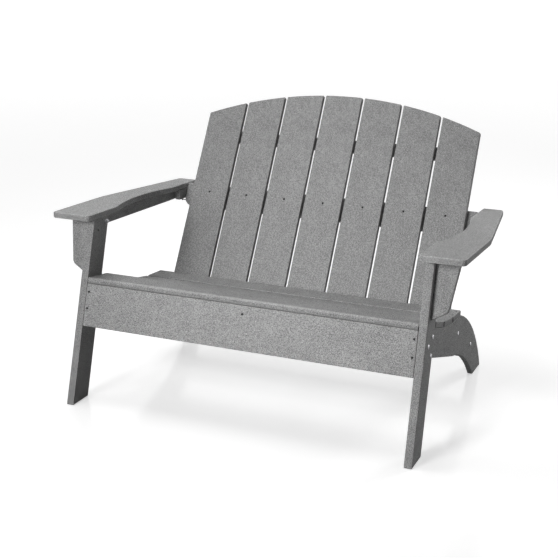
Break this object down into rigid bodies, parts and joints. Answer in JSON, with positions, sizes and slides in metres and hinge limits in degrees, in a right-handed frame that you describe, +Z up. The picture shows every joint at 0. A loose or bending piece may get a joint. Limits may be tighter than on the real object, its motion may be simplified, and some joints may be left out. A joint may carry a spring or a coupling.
{
  "type": "adirondack loveseat",
  "caption": "Slatted outdoor loveseat with a reclined arched back, contoured seat, wide scooped arms, splayed legs and bolted board construction.",
  "frame": {"origin": "on the floor, below the centre of the bounding box", "axes": "+X along the seat to the right as seen from the front, where the nodes named right are, +Y from the front to the back, +Z up"},
  "size_m": [1.353, 0.9726, 0.8956],
  "materials": {
    "plastic_lumber": "matte grey high-density polyethylene boards with a fine speckle",
    "stainless_steel": "satin stainless fasteners"
  },
  "bodies": {
    "root": {"arm_block_left": "plastic_lumber", "arm_block_right": "plastic_lumber", "arm_left": "plastic_lumber", "arm_rail_bolt_left": "stainless_steel", "arm_rail_bolt_nut_left": "stainless_steel", "arm_rail_bolt_nut_right": "stainless_steel", "arm_rail_bolt_right": "stainless_steel", "arm_rail_bolt_washer_left": "stainless_steel", "arm_rail_bolt_washer_right": "stainless_steel", "arm_rail_left": "plastic_lumber", "arm_rail_right": "plastic_lumber", "arm_right": "plastic_lumber", "back_slat_1": "plastic_lumber", "back_slat_2": "plastic_lumber", "back_slat_3": "plastic_lumber", "back_slat_4": "plastic_lumber", "back_slat_5": "plastic_lumber", "back_slat_6": "plastic_lumber", "back_slat_7": "plastic_lumber", "centre_stringer": "plastic_lumber", "corbel_left": "plastic_lumber", "corbel_right": "plastic_lumber", "front_apron": "plastic_lumber", "front_leg_left": "plastic_lumber", "front_leg_right": "plastic_lumber", "leg_bolt_left_1": "stainless_steel", "leg_bolt_left_2": "stainless_steel", "leg_bolt_left_3": "stainless_steel", "leg_bolt_nut_left_1": "stainless_steel", "leg_bolt_nut_left_2": "stainless_steel", "leg_bolt_nut_left_3": "stainless_steel", "leg_bolt_nut_right_1": "stainless_steel", "leg_bolt_nut_right_2": "stainless_steel", "leg_bolt_nut_right_3": "stainless_steel", "leg_bolt_right_1": "stainless_steel", "leg_bolt_right_2": "stainless_steel", "leg_bolt_right_3": "stainless_steel", "leg_bolt_washer_left_1": "stainless_steel", "leg_bolt_washer_left_2": "stainless_steel", "leg_bolt_washer_left_3": "stainless_steel", "leg_bolt_washer_right_1": "stainless_steel", "leg_bolt_washer_right_2": "stainless_steel", "leg_bolt_washer_right_3": "stainless_steel", "lower_back_rail": "plastic_lumber", "lower_back_rail_bolt_left": "stainless_steel", "lower_back_rail_bolt_right": "stainless_steel", "mid_back_rail": "plastic_lumber", "rear_stretcher": "plastic_lumber", "rear_stretcher_bolt_left": "stainless_steel", "rear_stretcher_bolt_right": "stainless_steel", "seat_slat_1": "plastic_lumber", "seat_slat_2": "plastic_lumber", "seat_slat_3": "plastic_lumber", "seat_slat_4": "plastic_lumber", "seat_slat_5": "plastic_lumber", "side_stringer_left": "plastic_lumber", "side_stringer_right": "plastic_lumber", "upper_back_rail": "plastic_lumber"}
  },
  "joints": []
}
